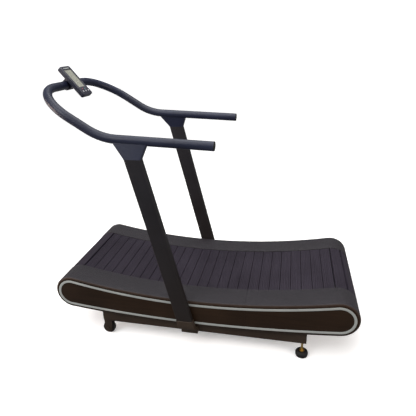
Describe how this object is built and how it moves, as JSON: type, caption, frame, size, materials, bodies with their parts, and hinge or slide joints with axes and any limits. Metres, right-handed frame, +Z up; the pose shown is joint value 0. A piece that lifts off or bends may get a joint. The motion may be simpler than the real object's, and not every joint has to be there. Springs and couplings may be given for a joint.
{
  "type": "curved manual treadmill",
  "caption": "Curved manual treadmill: sagging slat belt between round-ended side covers, two leaning uprights, looped handlebar, tilting console, transport wheels and levelling feet.",
  "frame": {"origin": "on the floor under the middle of the deck, the bottom centre of the whole machine", "axes": "+X towards the front and the console, +Y to the user's left, +Z up"},
  "size_m": [1.7459, 0.866, 1.5615],
  "materials": {
    "frame_paint": "satin",
    "upright_paint": "satin",
    "bar_paint": "matt textured",
    "zinc": "zinc plated",
    "steel": "ground",
    "aluminium": "turned",
    "rubber": "matt",
    "slat_rubber": "matt grooved",
    "wheel_plastic": "matt",
    "cover_plastic": "fine diamond texture",
    "panel_plastic": "satin",
    "accent_silver": "silver satin",
    "console_plastic": "satin",
    "display_panel": "grey liquid crystal",
    "lens_glass": "clear",
    "button_rubber": "matt"
  },
  "bodies": {
    "frame": {"base_cross_tubes": "frame_paint", "bearing_pins": "steel", "belt_slats": "slat_rubber", "belt_tensioners": "steel", "deck_brackets": "frame_paint", "deck_cross_tubes": "frame_paint", "foot_lock_nuts": "zinc", "guide_bearings": "steel", "handlebar_end_caps": "wheel_plastic", "handlebar_tube": "bar_paint", "left_accent_strip": "accent_silver", "left_base_rail": "frame_paint", "left_drive_belt": "rubber", "left_front_cover": "cover_plastic", "left_front_side_panel": "panel_plastic", "left_gusset": "bar_paint", "left_rear_cover": "cover_plastic", "left_rear_side_panel": "panel_plastic", "left_side_plate": "frame_paint", "left_upright": "upright_paint", "left_upright_socket": "frame_paint", "left_wheel_axle": "zinc", "left_wheel_fork": "frame_paint", "rail_end_caps": "wheel_plastic", "right_accent_strip": "accent_silver", "right_base_rail": "frame_paint", "right_drive_belt": "rubber", "right_front_cover": "cover_plastic", "right_front_side_panel": "panel_plastic", "right_gusset": "bar_paint", "right_rear_cover": "cover_plastic", "right_rear_side_panel": "panel_plastic", "right_side_plate": "frame_paint", "right_upright": "upright_paint", "right_upright_socket": "frame_paint", "right_wheel_axle": "zinc", "right_wheel_fork": "frame_paint", "shaft_bearings": "steel", "upright_bolts": "zinc"},
    "front_roller": {"front_shaft": "steel", "front_pulleys": "aluminium"},
    "rear_roller": {"rear_shaft": "steel", "rear_pulleys": "aluminium"},
    "left_wheel": {"left_transport_wheel": "wheel_plastic"},
    "right_wheel": {"right_transport_wheel": "wheel_plastic"},
    "left_foot": {"left_foot_pad": "rubber", "left_foot_stud": "zinc"},
    "right_foot": {"right_foot_pad": "rubber", "right_foot_stud": "zinc"},
    "console": {"console_back_shell": "console_plastic", "console_bezel": "console_plastic", "console_lens": "lens_glass", "console_display": "display_panel", "console_clamp": "console_plastic", "clamp_screws": "zinc"},
    "button_1": {"console_button_1": "button_rubber"},
    "button_2": {"console_button_2": "button_rubber"},
    "button_3": {"console_button_3": "button_rubber"}
  },
  "joints": [
    {"name": "front_roller_spin", "type": "hinge", "parent": "frame", "child": "front_roller", "pos_m": [0.7695, 0, 0.2893], "axis": [0, 1, 0], "continuous": true},
    {"name": "rear_roller_spin", "type": "hinge", "parent": "frame", "child": "rear_roller", "pos_m": [-0.7695, 0, 0.2893], "axis": [0, 1, 0], "continuous": true},
    {"name": "left_wheel_spin", "type": "hinge", "parent": "frame", "child": "left_wheel", "pos_m": [0.572, 0.3475, 0.0375], "axis": [0, 1, 0], "continuous": true},
    {"name": "right_wheel_spin", "type": "hinge", "parent": "frame", "child": "right_wheel", "pos_m": [0.572, -0.3475, 0.0375], "axis": [0, 1, 0], "continuous": true},
    {"name": "left_foot_level", "type": "slide", "parent": "frame", "child": "left_foot", "axis": [0, 0, 1], "range_m": [-0.02, 0]},
    {"name": "right_foot_level", "type": "slide", "parent": "frame", "child": "right_foot", "axis": [0, 0, 1], "range_m": [-0.02, 0]},
    {"name": "console_tilt", "type": "hinge", "parent": "frame", "child": "console", "pos_m": [0.811, 0, 1.459], "axis": [0, 1, 0], "range_deg": [-20, 20]},
    {"name": "button_1_press", "type": "slide", "parent": "console", "child": "button_1", "axis": [-0.766, 0, 0.6428], "range_m": [-0.001, 0], "stiffness_N_per_m": 600},
    {"name": "button_2_press", "type": "slide", "parent": "console", "child": "button_2", "axis": [-0.766, 0, 0.6428], "range_m": [-0.001, 0], "stiffness_N_per_m": 600},
    {"name": "button_3_press", "type": "slide", "parent": "console", "child": "button_3", "axis": [-0.766, 0, 0.6428], "range_m": [-0.001, 0], "stiffness_N_per_m": 600}
  ],
  "couplings": [
    {"joint": "rear_roller_spin", "follows": "front_roller_spin", "ratio": 1}
  ]
}
